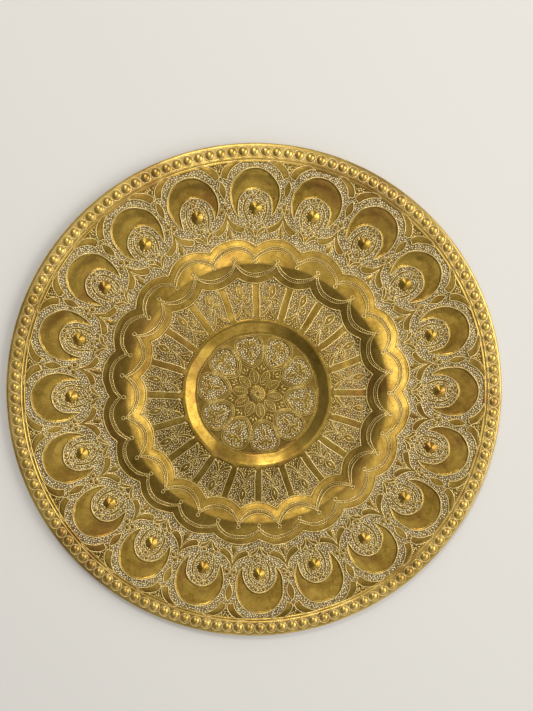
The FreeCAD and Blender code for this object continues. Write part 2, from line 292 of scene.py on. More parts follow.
tent = [(0, 168.4), (0, 168.4), (1.2, 164.6), (2.9, 160.9), (5.8, 157.4), (9.4, 154.8), (12.9, 152.9),
        (14.3, 151.6), (14.3, 151.6), (13.0, 150.6), (13.5, 149.0), (13.5, 149.0), (11.8, 149.1),
        (10.6, 147.9), (10.6, 147.9), (7.6, 149.2), (4.6, 151.2), (2.3, 154.2), (0.8, 157.6), (0, 161.4),
        (0, 161.4)]
band.leaf(whole(tent), HALF)
curl = [(14.2, 153.6), (14.2, 153.6), (17.2, 152.4), (19.8, 150.0), (21.6, 146.6), (22.2, 142.0),
        (22.2, 142.0), (20.2, 144.6), (18.8, 147.0), (17.0, 148.6), (15.3, 149.2), (15.3, 149.2),
        (15.8, 151.0)]
for form in pair(curl):
    band.leaf(form, HALF)
for stem in pair([(0, 157.6), (1.8, 152.4), (2.9, 148.4), (3.3, 145.2)], closed=False):
    band.line(stem, HALF, width=0.8)
tear = [(0, 154.6), (0, 154.6), (0.8, 151.6), (1.6, 148.8), (1.2, 146.6), (0, 146.0)]
band.leaf(whole(tear), HALF, edge=0)
star = [(0, 151.6), (0, 151.6), (0.9, 149.9), (2.9, 149.8), (2.9, 149.8), (1.5, 147.8), (0, 144.6),
        (0, 144.6)]
band.leaf(whole(star), edge=0)

# %% [markdown]
# ### The ridge
# A rope with lobed edges lies on the ridge. A double line with a row of beads borders it on each
# side, and a small ring stands on the rope beside each cusp. Outside and inside of the rope the ridge
# is plain, up to a scalloped line on each flank. Each scalloped line is given by the distances of its
# cusps and of its lobes' middles from the axis.

# %% Draw the ridge
OUTER_EDGE, OUTER_ROPE = (135.8, 143.4), (124.4, 135.2)
INNER_EDGE, INNER_ROPE = (108.8, 102.4), (121.6, 109.8)
BORDER = 1.6

ridge = Drawing(UNITS)
ridge.outer_edge, ridge.outer_rope = scallop(*OUTER_EDGE), scallop(*OUTER_ROPE)
ridge.inner_edge, ridge.inner_rope = scallop(*INNER_EDGE), scallop(*INNER_ROPE)
ridge.line(ridge.outer_edge, HALF, width=1.3)
ridge.line(ridge.inner_edge, width=1.3)
for (cusp, middle), turn in ((OUTER_ROPE, HALF), (INNER_ROPE, 0.0)):
    ridge.row(scallop(cusp, middle), turn, pitch=1.75, size=0.66)
    for shift in (-BORDER, BORDER):
        ridge.line(scallop(cusp + shift, middle + shift), turn)
ridge.line(circle(0, 121.4, 1.7), closed=True)
ridge.line(circle(0, 124.4, 1.7), HALF, closed=True)

# %% [markdown]
# ### The panel ring
# Plain radial bars divide this ring into panels. Each panel has a bud, a button between two curled
# petals, two long leaves that reach its inner corners, and a button in each outer corner.

# %% Draw the panel ring
panels = Drawing(UNITS)
bar = [(2.9, 66), (2.9, 104)]
panels.leaves.append(np.array(bar + mirrored(bar), float))
for side in pair([(3.2, 70.4), (3.2, 102.2)], closed=False, step=2.5):
    panels.line(side, width=1.05)
bud = [(0, 103.0), (0, 103.0), (1.9, 99.8), (3.0, 96.2), (2.5, 92.8), (1.2, 90.4), (0, 89.2), (0, 89.2)]
panels.leaf(whole(bud), HALF, edge=0.75)
panels.line(curve([(0, 93.4), (0, 97.2)]), HALF, width=1.2)
panels.dot(0, 86.2, 1.2, HALF)
curl = [(1.0, 88.2), (2.8, 89.7), (5.2, 89.6), (6.7, 87.7), (6.2, 85.4), (4.4, 84.4), (2.9, 85.3),
        (4.3, 86.4), (4.2, 87.6), (2.8, 87.6)]
long_leaf = [(0.3, 84.4), (0.3, 84.4), (2.2, 80.6), (4.7, 76.9), (8.7, 73.2), (8.6, 71.0), (5.2, 72.4),
             (2.6, 75.6), (0.8, 80.0)]
for forms in zip(pair(curl), pair(long_leaf)):
    for form in forms:
        panels.leaf(form, HALF, edge=0.6)
for side in (1, -1):
    panels.dot(side * 10.3, 99.6, 1.35, HALF)

# %% [markdown]
# ### The medallion
# Ten eggs stand round a flower, which has a raised button with fine rays in its middle. Each egg
# holds a drop and a small blossom. Knots of four buttons tie the eggs together, and sprigs of three
# short strokes and a grain fill the gaps between the petals.

# %% Draw the medallion
EGGS = 10
BETWEEN = math.pi / EGGS

medallion = Drawing(EGGS)
egg = [(0, 55.6), (7.0, 54.4), (11.9, 50.6), (13.6, 45.0), (13.0, 39.4), (10.7, 34.2), (7.2, 30.1),
       (3.4, 27.3), (0, 26.2)]
medallion.egg = whole(egg)
medallion.line(medallion.egg, closed=True, width=0.65)
heart = [(0, 54.3), (6.3, 53.1), (10.7, 49.7), (12.3, 44.8), (11.7, 39.8), (9.5, 35.2), (6.3, 31.4),
         (3.0, 28.5), (0, 27.4)]
medallion.heart = whole(heart)
medallion.line(medallion.heart, closed=True, width=0.55)
tip = [(12.8, 37.4), (11.2, 32.6), (8.0, 28.5), (3.9, 25.7), (0, 24.5)]
medallion.line(curve(tip + mirrored(tip)[1:]))
wall_foot = np.linspace(-BETWEEN, BETWEEN, 24)
medallion.row(55.7 * np.stack([np.sin(wall_foot), np.cos(wall_foot)], 1), pitch=1.6, size=0.55)
drop = [(0, 41.8), (0, 41.8), (1.4, 38.6), (1.3, 35.2), (0, 32.4), (0, 32.4)]
blossom = [(0, 51.2), (0, 51.2), (1.4, 49.2), (0.9, 46.2), (3.0, 48.2), (5.6, 48.3), (7.0, 45.8), (5.6, 43.6),
           (5.0, 45.6), (3.2, 45.2), (1.2, 43.4), (0, 43.0)]
petal = [(0, 23.4), (0, 23.4), (2.6, 20.8), (3.9, 16.9), (3.3, 13.4), (1.9, 10.6), (0, 9.0), (0, 9.0)]
for half in (drop, blossom, petal):
    medallion.leaf(whole(half))
medallion.line(curve([(0, 10.6), (0, 21.5)]), width=0.7)
for rib, reach in enumerate((1.9, 2.6, 2.8, 2.4, 1.5)):
    start = 11.4 + 2.0 * rib
    for vein in pair([(0, start), (reach, start + 1.5)], closed=False):
        medallion.line(vein, width=0.6)
for y in (44.4, 41.6):
    for x in (1.4, -1.4):
        medallion.dot(x, y, 1.15, BETWEEN)
for foot, end in (((0, 23.6), (0, 27.0)), ((1.5, 22.6), (3.3, 25.0)), ((-1.5, 22.6), (-3.3, 25.0))):
    medallion.line(curve([foot, end]), BETWEEN, width=2.0)
medallion.grain(0, 21.4, 0.8, BETWEEN)
medallion.line(curve([(0, 9.6), (0, 18.6)]), BETWEEN, width=0.7)
for side in (-1, 1):
    medallion.line(curve([(0, 1.6), (0, 7.9)]), side * BETWEEN / 2)
print("lines in one crescent unit:", len(band.lines), "in one egg's sector:", len(medallion.lines))


# %% [markdown]
# ## From outlines to relief
# The relief is a height added to the plain section at each point. The distance from a point to an
# outline decides it: leaves stay up and ground sinks beside them, a crescent sinks inside its edge,
# and a boss swells towards its tip. Each outline is measured with its two neighbours' copies, so a
# sector's two sides match.

# %% Distances
def with_neighbours(outline, units):
    """An outline between its copies in the two sectors beside it."""
    return [turned_by(outline, k * 2 * math.pi / units) for k in (-1, 0, 1)]


def distance(points, outline, closed, reach):
    """Distance from points to an outline, no more than reach, and whether they lie inside it."""
    low, high = outline.min(0) - reach, outline.max(0) + reach
    near = np.nonzero(((points >= low) & (points <= high)).all(1))[0]
    far = np.full(len(points), reach)
    inside = np.zeros(len(points), bool)
    if not len(near):
        return far, inside
    starts = outline if closed else outline[:-1]
    ends = np.roll(outline, -1, 0) if closed else outline[1:]
    spots = points[near]
    best = np.full(len(spots), np.inf)
    crossings = np.zeros(len(spots), int)
    for start, end in zip(starts, ends):
        side = end - start
        offset = spots - start
        share = np.clip((offset @ side) / max(side @ side, 1e-12), 0, 1)
        best = np.minimum(best, ((offset - share[:, None] * side) ** 2).sum(1))
        if closed and start[1] != end[1]:
            spans = (start[1] > spots[:, 1]) != (end[1] > spots[:, 1])
            cut_at = start[0] + (spots[:, 1] - start[1]) / (end[1] - start[1]) * (end[0] - start[0])
            crossings += spans & (spots[:, 0] < cut_at)
    far[near] = np.minimum(np.sqrt(best), reach)
    inside[near] = crossings % 2 == 1
    return far, inside


def depth_inside(points, outlines, units, reach):
    """How far each point is inside the nearest outline: more than nought inside, less outside."""
    deepest = np.full(len(points), -reach)
    for outline in outlines:
        for copy in with_neighbours(outline, units):
            away, inside = distance(points, copy, True, reach)
            deepest = np.maximum(deepest, np.where(inside, away, -away))
    return deepest


def from_spot(points, spot, units):
    """Each point's distance and direction from the nearest copy of a spot."""
    offsets = np.stack([points - copy[0] for copy in with_neighbours([spot], units)])
    away = np.linalg.norm(offsets, axis=2)
    nearest = offsets[away.argmin(0), np.arange(len(points))]
    return away.min(0), np.arctan2(nearest[:, 0], nearest[:, 1])


def beyond_scallop(points, lobe, turn=0.0):
    """How far each point is beyond a scalloped line, outwards from the middle."""
    angle = np.arctan2(points[:, 0], points[:, 1])
    folded = (angle - turn + HALF) % PITCH - HALF
    lobe_angle = np.arctan2(lobe[:, 0], lobe[:, 1])
    return np.linalg.norm(points, axis=1) - np.interp(folded, lobe_angle, np.linalg.norm(lobe, axis=1))


def eased(value, start, end):
    """Nought before the start, one after the end, and a soft slope between them."""
    share = np.clip((value - start) / (end - start), 0, 1)
    return share * share * (3 - 2 * share)


def ground_round(points, drawing):
    """One on open ground, nought on leaves and buttons with a narrow slope between, and the depth."""
    depth = depth_inside(points, drawing.leaves + drawing.hollows, drawing.units, 2.5)
    for x, y, radius in drawing.dots:
        depth = np.maximum(depth, radius - from_spot(points, (x, y), drawing.units)[0])
    return 1 - eased(depth, -0.7, 0.0), depth


# %% [markdown]
# The relief of each zone follows. Every helper returns the rise above the section and two marks for
# each point: how much it is punched ground or tarnished, and how much of it holds white polish.
#
# In the crescent band the polish is thin round each boss, and in the pocket between two shoulders.

# %% Relief of the crescent band
# TARNISH_AND_SHADE darkens grooves and sunk ground, and also paints shade beside the raised lines.
TARNISH_AND_SHADE, LIGHT_TARNISH = 0.72, 0.6
BAND_DEPTH, GROOVE_DEPTH = 0.55, 0.2
CRESCENT_STEP, CRESCENT_BOWL = 0.6, 0.5
BOSS_HEIGHT, BOSS_FOOT = 3.1, 0.45
FLUTES, FLUTE_DEPTH = 12, 0.08
LEAF_PLUMP = 0.18


def band_relief(points):
    radius = np.linalg.norm(points, axis=1)
    share, depth = ground_round(points, band)
    off_ridge = eased(beyond_scallop(points, ridge.outer_edge, HALF), 0.0, 0.7)
    share *= off_ridge * (1 - eased(radius, BAND_END - 0.8, BAND_END))
    sunk = depth_inside(points, [band.crescent], UNITS, 9)
    rise = -BAND_DEPTH * share - CRESCENT_STEP * eased(sunk, 0.0, 1.1) - CRESCENT_BOWL * eased(sunk, 0.5, 9)
    away, around = from_spot(points, BOSS_SPOT, UNITS)
    boss = np.clip(1 - away / BOSS_REACH, 0, 1)
    flutes = FLUTE_DEPTH * np.cos(FLUTES * around) * np.sin(math.pi * boss) ** 2
    cone = BOSS_HEIGHT * (boss**1.1) * (1 - 0.14 * eased(boss, 0.8, 1.0))
    rise += cone + BOSS_FOOT * eased(boss, 0, 0.15) + flutes
    share *= 1 - eased(boss, 0.0, 0.05)
    groove = eased(depth_inside(points, band.grooves, UNITS, 1.5), -0.2, 0.4)
    rise += LEAF_PLUMP * eased(depth, 0, 2.0) * (sunk < 0) - GROOVE_DEPTH * groove
    share = share * (1 - groove) + TARNISH_AND_SHADE * groove
    pocket = 1 - eased(from_spot(points, turned_by([(0, 205.5)], HALF)[0], UNITS)[0], 7.5, 8.8)
    pocket *= eased(radius, 197.4, 198.6)
    by_collar = 1 - eased(from_spot(points, (0, 169.4), UNITS)[0], 7.6, 8.6)
    return rise, share, share * (1 - 0.9 * pocket) * (1 - 0.75 * by_collar) * (1 - groove)


# %% Relief of the ridge
ROPE_RISE, ROPE_PLUMP, FLANK_RISE, BORDER_DEPTH = 0.3, 0.25, 0.3, 0.3


def ridge_relief(points):
    within, beyond = -beyond_scallop(points, ridge.outer_rope, HALF), beyond_scallop(points, ridge.inner_rope)
    below_top = -beyond_scallop(points, ridge.outer_edge, HALF)
    above_foot = beyond_scallop(points, ridge.inner_edge)
    rope = eased(within, -1.2, 1.6) * eased(beyond, -1.2, 1.6)
    plump = eased(within, 1.5, 8) * eased(beyond, 1.5, 8)
    flank = eased(below_top, 0, 2.5) * eased(above_foot, 0, 2.5)
    borders = np.maximum(1 - eased(np.abs(within), 0.8, 1.35), 1 - eased(np.abs(beyond), 0.8, 1.35))
    rise = ROPE_RISE * rope + ROPE_PLUMP * plump + FLANK_RISE * flank - BORDER_DEPTH * borders
    return rise, LIGHT_TARNISH * borders, np.zeros(len(points))


# %% Relief of the panel ring
PANEL_DEPTH, PANEL_PLUMP = 0.5, 0.1


def panel_relief(points):
    radius = np.linalg.norm(points, axis=1)
    share, depth = ground_round(points, panels)
    share *= eased(-beyond_scallop(points, ridge.inner_edge), 0.0, 0.7) * eased(radius, 68.6, 69.4)
    rise = -PANEL_DEPTH * share + PANEL_PLUMP * eased(depth, 0, 1.6) * (radius > 69)
    from_middle = np.abs(np.abs(np.arctan2(points[:, 0], points[:, 1])) % PITCH - HALF) * radius
    under_leaves = 1 - eased(radius + 1.35 * from_middle, 78, 80)
    return rise, share, 0.55 * share * (1 - 0.8 * under_leaves)


# %% Relief of the medallion
EGG_RISE, EGG_GROUND_DEPTH, EGG_LEAF_PLUMP = 0.25, 0.45, 0.25
STAR_DEPTH, GAP_DEPTH = 0.35, 0.25
BUTTON_RISE, BUTTON_STEP, BUTTON_DIMPLE = 1.1, 0.4, 0.35


def medallion_relief(points):
    radius = np.linalg.norm(points, axis=1)
    share, depth = ground_round(points, medallion)
    heart = depth_inside(points, [medallion.heart], EGGS, 3)
    egg_depth = depth_inside(points, [medallion.egg], EGGS, 3)
    outside = eased(-egg_depth, 0.0, 0.6)
    star = share * outside * (1 - eased(radius, 36, 39)) * eased(radius, 7.4, 8.0)
    share *= eased(heart, 0.0, 0.5)
    gap = eased(egg_depth, 0.1, 0.5) * (1 - eased(heart, -0.5, 0.0))
    rise = EGG_RISE * eased(egg_depth, -0.4, 0.2) - EGG_GROUND_DEPTH * share
    rise += EGG_LEAF_PLUMP * eased(depth, 0, 1.5) - STAR_DEPTH * star - GAP_DEPTH * gap
    rise += BUTTON_RISE * (1 - eased(radius, 1.0, 7.8)) + BUTTON_STEP * (1 - eased(radius, 6.4, 7.8))
    rise -= BUTTON_DIMPLE * (1 - eased(radius, 0.0, 1.3))
    dark = np.maximum(TARNISH_AND_SHADE * np.maximum(star, gap), 0.5 * outside * eased(radius, 43, 46))
    return rise, np.maximum(share, dark), 0.75 * share


# %% The whole relief
ZONES = (
    # radius of the inner and the outer side, and the relief between them
    (130, math.inf, band_relief),
    (101, 146, ridge_relief),
    (66, 110, panel_relief),
    (-1, 57, medallion_relief),
)


def relief(points):
    """Height of the face, share of punched or tarnished ground, and share of polish left in it."""
    radius = np.linalg.norm(points, axis=1)
    level = face_level(radius)
    ground, polish = np.zeros(len(points)), np.zeros(len(points))
    for inner, outer, zone_relief in ZONES:
        zone = np.nonzero((radius > inner) & (radius < outer))[0]
        if len(zone):
            rise, zone_ground, zone_polish = zone_relief(points[zone])
            level[zone] += rise
            ground[zone] = np.maximum(ground[zone], zone_ground)
            polish[zone] = np.maximum(polish[zone], zone_polish)
    return level, ground, polish


def beside_lines(points, drawings, near=0.45, far=1.25):
    """How dark each point beside the raised lines is made: tarnished brass with painted shade in the corners.
    """
    gap = np.full(len(points), 2.0)
    for drawing in drawings:
        for outline, closed, _ in drawing.lines:
            for copy in with_neighbours(outline, drawing.units):
                gap = np.minimum(gap, distance(points, copy, closed, 2.0)[0])
    return TARNISH_AND_SHADE * (1 - eased(gap, near, far))


# %% [markdown]
# ## One sector, made as a closed piece of sheet
# A ring of the dish is one sector repeated round the axis. The sector is a grid of points on the
# face, a coarser grid on the back one sheet's thickness lower, and a wall along its inner and its
# outer edge. Its two sides stay open, because the neighbours close them once they are welded.

# %% Sector meshes
THICKNESS = 1.0


def put_mark(mesh, name, values):
    """Give every point of a mesh a value that a tree or a material can read."""
    layer = mesh.attributes.new(name, "FLOAT", "POINT")
    layer.data.foreach_set("value", np.asarray(values, np.float32))


def grid(inner, outer, rows, columns, units):
    """Points over a sector, row by row from the inner edge."""
    reach = np.linspace(inner, outer, rows + 1)
    angle = np.linspace(-math.pi / units, math.pi / units, columns + 1)
    return np.stack([np.outer(reach, np.sin(angle)).ravel(), np.outer(reach, np.cos(angle)).ravel()], 1)


def quads(first, rows, columns, up=True):
    """The faces of a grid whose first point is given, seen from above or from below."""
    faces = []
    for row in range(rows):
        for column in range(columns):
            low = first + row * (columns + 1) + column
            high = low + columns + 1
            faces.append((low, low + 1, high + 1, high) if up else (low, high, high + 1, low + 1))
    return faces


def sector_mesh(name, inner, outer, rows, columns, units, start, drawings):
    """A mesh of one sector of sheet. Rows and columns count the face's cells, and both are even."""
    face = grid(inner, outer, rows, columns, units)
    level, ground, polish = relief(face)
    # The ground mark also darkens the sheet beside the raised lines: tarnished brass with painted shade in
    # its corners.
    tarnish_and_shade = beside_lines(face, drawings)
    ground, polish = np.maximum(ground, tarnish_and_shade), polish * (1 - 0.6 * tarnish_and_shade)
    back = grid(inner, outer, rows // 2, columns // 2, units)
    back_level = np.maximum(relief(back)[0] - THICKNESS, 0.0)
    points = np.column_stack([turned_by(np.vstack([face, back]), start), np.append(level, back_level)])
    first = len(face)
    faces = quads(0, rows, columns) + quads(first, rows // 2, columns // 2, up=False)
    smooth = [True] * len(faces)
    for column in range(columns // 2):
        low, high = first + column, 2 * column
        if inner > 0:
            faces.append((low, low + 1, high + 2, high + 1, high))
        low, high = low + rows // 2 * (columns // 2 + 1), high + rows * (columns + 1)
        faces.append((high, high + 1, high + 2, low + 1, low))
    smooth += [False] * (len(faces) - len(smooth))
    mesh = new_mesh(name, points, faces=faces, smooth=smooth)
    for mark, values in (("ground", ground), ("polish", polish)):
        put_mark(mesh, mark, np.append(values, np.zeros(len(back))))
    return mesh


# %% [markdown]
# ## Geometry Nodes that repeat, sweep and punch
# Four small trees make everything that repeats. The first welds copies of a sector into a ring. The
# second sweeps fine lines and repeats them. The third sets beads and buttons on points. These three
# end with the same slight waver, because the drawing was laid out by hand and no two units are quite
# alike. The fourth scatters punch marks over the finished sheets.

# %% Helpers that build trees
class Nodes:
    """Adds nodes to a tree. The helpers give outputs, which other nodes can take."""

    def __init__(self, tree):
        self.tree = tree

    def feed(self, socket, value):
        """Link a socket to another node's output, or set it to a value."""
        if isinstance(value, bpy.types.NodeSocket):
            self.tree.links.new(value, socket)
        else:
            socket.default_value = (*value, 1) if socket.type == "RGBA" else value

    def add(self, kind, inputs=None, **settings):
        """The outputs of a new node with its settings and its inputs."""
        made = self.tree.nodes.new(kind)
        for name, value in settings.items():
            setattr(made, name, value)
        for name, value in (inputs or {}).items():
            self.feed(made.inputs[name], value)
        return made.outputs

    def math(self, operation, a, b=0.0, c=0.0):
        return self.add("ShaderNodeMath", {0: a, 1: b, 2: c}, operation=operation)[0]

    def times(self, *factors):
        """The product of two or more values."""
        product = factors[0]
        for factor in factors[1:]:
            product = self.math("MULTIPLY", product, factor)
        return product

    def spread(self, value, low, high, start=0.0, end=1.0):
        """A value spread from one range to another, and held at its ends."""
        ranges = {"Value": value, "From Min": low, "From Max": high, "To Min": start, "To Max": end}
        return self.add("ShaderNodeMapRange", ranges)[0]

    def vector(self, operation, a, b=(0, 0, 0)):
        made = self.add("ShaderNodeVectorMath", {0: a, 1: b}, operation=operation)
        return made["Value" if operation == "LENGTH" else "Vector"]

    def combined(self, **axes):
        return self.add("ShaderNodeCombineXYZ", axes)[0]

    def noise(self, place, scale, detail, **more):
        """A cloudy pattern: one value (Fac) and one colour (Color) for each place."""
        return self.add("ShaderNodeTexNoise", {"Vector": place, "Scale": scale, "Detail": detail, **more})


class Tree(Nodes):
    """A geometry tree with a geometry input, the named inputs and a geometry output."""

    def __init__(self, name, **inputs):
        super().__init__(bpy.data.node_groups.new(name, "GeometryNodeTree"))
        new_socket = self.tree.interface.new_socket
        new_socket("Geometry", in_out="INPUT", socket_type="NodeSocketGeometry")
        for label, value in inputs.items():
            kind = {int: "Int", float: "Float"}.get(type(value), "Material")
            socket = new_socket(label, in_out="INPUT", socket_type="NodeSocket" + kind)
            if value is not None:
                socket.default_value = value
        new_socket("Geometry", in_out="OUTPUT", socket_type="NodeSocketGeometry")
        self.given = self.tree.nodes.new("NodeGroupInput").outputs
        self.result = self.tree.nodes.new("NodeGroupOutput").inputs[0]

    def stored(self, name):
        """A value that the mesh holds at its points."""
        return self.add("GeometryNodeInputNamedAttribute", {"Name": name}, data_type="FLOAT")[0]

    def height(self, place):
        return self.add("ShaderNodeSeparateXYZ", {0: place})["Z"]

    def smoothed(self, geometry):
        return self.add("GeometryNodeSetShadeSmooth", {"Geometry": geometry, "Shade Smooth": True})[0]

    def ball(self, detail):
        """A smooth ball with a radius of one millimetre."""
        shape = self.add("GeometryNodeMeshIcoSphere", {"Radius": MM, "Subdivisions": detail})
        return self.smoothed(shape["Mesh"])

    def chance(self, low, high, seed):
        """A random value for each point."""
        return self.add("FunctionNodeRandomValue", {2: low, 3: high, "Seed": seed}, data_type="FLOAT")[1]

    def on_points(self, points, shape, **placing):
        """A copy of a shape at each point, with a Rotation or a Scale."""
        return self.add("GeometryNodeInstanceOnPoints", {"Points": points, "Instance": shape, **placing})[0]

    def real(self, geometry):
        """A geometry's copies as real geometry."""
        return self.add("GeometryNodeRealizeInstances", {"Geometry": geometry})[0]

    def round_the_axis(self, geometry):
        """Real copies of a geometry, evenly turned round the dish's axis."""
        count = self.given["Count"]
        points = self.add("GeometryNodePoints", {"Count": count})[0]
        turn = self.times(self.add("GeometryNodeInputIndex")[0], self.math("DIVIDE", 2 * math.pi, count))
        return self.real(self.on_points(points, geometry, Rotation=self.combined(Z=turn)))

    def wavering(self, geometry):
        return self.add("GeometryNodeGroup", {"Geometry": geometry}, node_tree=waver.tree)[0]

    def finish(self, geometry):
        """The end of a tree: the material, and the way out."""
        inputs = {"Geometry": geometry, "Material": self.given["Material"]}
        self.feed(self.result, self.add("GeometryNodeSetMaterial", inputs)[0])


# %% The waver of hand work
waver = Tree("Waver", Amount=0.0007, Width=0.022)
place = waver.add("GeometryNodeInputPosition")[0]
flat_place = waver.vector("MULTIPLY", place, (1, 1, 0))
from_axis = waver.vector("LENGTH", flat_place)
fade_out, fade_in = waver.spread(from_axis, 0.2, 0.211, 1.0, 0.0), waver.spread(from_axis, 0.002, 0.02)
clouds = waver.noise(flat_place, waver.math("DIVIDE", 1.0, waver.given["Width"]), 1.0)
centred = waver.vector("SUBTRACT", clouds["Color"], (0.5, 0.5, 0.5))
above_foot = waver.spread(waver.height(place), 0.0008, 0.003)
less_high = waver.combined(X=1.0, Y=1.0, Z=waver.times(above_foot, 0.3))
strength = waver.times(fade_out, fade_in, waver.times(waver.given["Amount"], 4.0))
inputs = {0: waver.vector("MULTIPLY", centred, less_high), "Scale": strength}
shift = waver.add("ShaderNodeVectorMath", inputs, operation="SCALE")[0]
inputs = {"Geometry": waver.given["Geometry"], "Offset": shift}
waver.feed(waver.result, waver.add("GeometryNodeSetPosition", inputs)[0])

# %% The ring of sectors
ring = Tree("Ring of sectors", Count=UNITS, Weld=0.00001, Material=None)
inputs = {"Geometry": ring.round_the_axis(ring.given["Geometry"]), "Distance": ring.given["Weld"]}
ring.finish(ring.wavering(ring.add("GeometryNodeMergeByDistance", inputs)[0]))

# %% The fine raised lines
lines = Tree("Raised lines", Count=UNITS, Radius=0.00044, Sides=5, Material=None)
width = lines.stored("width")
path = lines.add("GeometryNodeMeshToCurve", {"Mesh": lines.given["Geometry"]})[0]
path = lines.add("GeometryNodeSetCurveRadius", {"Curve": path, "Radius": width})[0]
inputs = {"Resolution": lines.given["Sides"], "Radius": lines.given["Radius"]}
section = lines.add("GeometryNodeCurvePrimitiveCircle", inputs, mode="RADIUS")[0]
inputs = {"Curve": path, "Profile Curve": section, "Scale": width, "Fill Caps": True}
swept = lines.smoothed(lines.add("GeometryNodeCurveToMesh", inputs)[0])
lines.finish(lines.wavering(lines.round_the_axis(swept)))

# %% Beads and buttons on points
beads = Tree("Beads on points", Count=UNITS, Detail=1, Flatness=0.55, Material=None)
size = beads.stored("size")
squat = beads.combined(X=size, Y=size, Z=beads.times(size, beads.given["Flatness"]))
spots = beads.add("GeometryNodeMeshToPoints", {"Mesh": beads.given["Geometry"]})[0]
round_beads = beads.on_points(spots, beads.ball(beads.given["Detail"]), Scale=squat)
beads.finish(beads.wavering(beads.round_the_axis(round_beads)))

# %% Punch marks scattered over the ground
PUNCH_SIZE, PANEL_PUNCH_SIZE = 0.78, 0.64
punch = Tree("Punched ground", Spacing=0.0017, Density=1200000.0, Size=PUNCH_SIZE, Seed=3, Material=None)
facing = punch.height(punch.add("GeometryNodeInputNormal")[0])
inputs = {
    "Mesh": punch.given["Geometry"], "Selection": punch.math("GREATER_THAN", facing, 0.3),
    "Distance Min": punch.given["Spacing"], "Density Max": punch.given["Density"],
    "Density Factor": punch.spread(punch.stored("ground"), 0.74, 0.9), "Seed": punch.given["Seed"],
}
scattered = punch.add("GeometryNodeDistributePointsOnFaces", inputs, distribute_method="POISSON")
uneven = punch.times(punch.chance(0.75, 1.2, punch.given["Seed"]), punch.given["Size"])
less_white = punch.math("SUBTRACT", 1.15, punch.times(punch.stored("polish"), 0.15))
width = punch.times(uneven, less_white)
squat = punch.combined(X=punch.times(width, 1.2), Y=punch.times(width, 0.85), Z=punch.times(width, 0.55))
spin = punch.combined(Z=punch.chance(0.0, math.pi, 8))
marks = punch.on_points(scattered["Points"], punch.ball(1), Rotation=spin, Scale=squat)
punch.finish(punch.real(marks))

# %% [markdown]
# A tree becomes a plain mesh in three steps: the modifier gets its inputs by their identifiers, the
# object is evaluated, and the result is copied to a new object without the modifier.

# %% Run a tree
def sharpened(mesh):
    """Mark every edge of a flat face as sharp, so that it doesn't bend the smooth faces beside it."""
    smooth = np.zeros(len(mesh.polygons), bool)
    mesh.polygons.foreach_get("use_smooth", smooth)
    sizes, edges = np.zeros(len(mesh.polygons), int), np.zeros(len(mesh.loops), int)
    mesh.polygons.foreach_get("loop_total", sizes)
    mesh.loops.foreach_get("edge_index", edges)
    sharp = np.zeros(len(mesh.edges), bool)
    sharp[edges[np.repeat(~smooth, sizes)]] = True
    mesh.edges.foreach_set("use_edge_sharp", sharp)


def with_modifiers(name, source):
    """The plain mesh that an object's modifiers make."""
    depsgraph = bpy.context.evaluated_depsgraph_get()
    evaluated = source.evaluated_get(depsgraph)
    mesh = bpy.data.meshes.new_from_object(evaluated, preserve_all_data_layers=True, depsgraph=depsgraph)
    mesh.name = name
    sharpened(mesh)
    mesh.calc_loop_triangles()
    print(name, "triangles:", len(mesh.loop_triangles))
    return mesh


def finished(piece):
    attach(piece, "root")
    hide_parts("plate")
    return piece


def made_with(maker, name, mesh, **inputs):
    """The finished piece that a tree makes from a mesh."""
    source = placed(name + "_source", mesh)
    modifier = source.modifiers.new("nodes", "NODES")
    modifier.node_group = maker.tree
    for item in maker.tree.interface.items_tree:
        if item.in_out == "INPUT" and item.name in inputs:
            modifier[item.identifier] = inputs[item.name]
    plain = with_modifiers(name, source)
    bpy.data.objects.remove(source)
    return finished(placed(name, plain))


# %% [markdown]
# ## Old brass
# Brass that is polished now and then stays tarnished in the hollows, and shines on the high places. Beside
# the raised lines it is darker still: tarnished, with painted shade in the corners. Polish that dried in the
# punched ground stays there as a whitish dust. The sheet's brass reads both marks from the relief. It has
# reddish stains and a few dark specks. The ridge is a little rougher than the rest, and its crest is darkened
# with painted shade to tone down its highlights. The rim, the raised lines, the punch marks and the buttons
# have brasses of their own, rubbed more or less bright.

# %% Helpers for materials
class Material(Nodes):
    """A material whose shader takes the nodes' outputs."""

    def __init__(self, name, **inputs):
        self.data = bpy.data.materials.new(name)
        self.data.use_nodes = True
        super().__init__(self.data.node_tree)
        self.set(**inputs)

    def set(self, **inputs):
        """Feed the shader. An underscore in a name stands for a space."""
        shader = self.tree.nodes["Principled BSDF"]
        for label, value in inputs.items():
            self.feed(shader.inputs[label.replace("_", " ")], value)

    def colour(self, share, *stops):
        """A colour ramp between two (place, colour) stops."""
        ramp = self.tree.nodes.new("ShaderNodeValToRGB")
        self.feed(ramp.inputs[0], share)
        for element, (place, tint) in zip(ramp.color_ramp.elements, stops):
            element.position, element.color = place, (*tint, 1)
        return ramp.outputs["Color"]

    def blended(self, share, under, over):
        """One colour over another by a share from 0 to 1."""
        return self.add("ShaderNodeMix", {"Factor": share, 6: under, 7: over}, data_type="RGBA")[2]

    def mark(self, name):
        """A mark that the relief left on the mesh."""
        return self.add("ShaderNodeAttribute", attribute_name=name)["Fac"]

    def cells(self, place, scale):
        """A pattern of cells: the Distance from a cell's middle, and a Color for each cell."""
        return self.add("ShaderNodeTexVoronoi", {"Vector": place, "Scale": scale})


# %% Brass
GRAIN_HEIGHT = 0.00006
POLISH, WHITE_POLISH = (0.68, 0.59, 0.38), (0.95, 0.87, 0.62)
# BROWN_OF_TARNISH_AND_SHADE colours tarnished brass, and also the painted shade beside the raised lines and
# on the ridge's crest.
BROWN_OF_TARNISH_AND_SHADE, RED_STAIN, DARK_SPECK = (0.12, 0.072, 0.018), (0.26, 0.115, 0.03), (0.10, 0.05, 0.015)


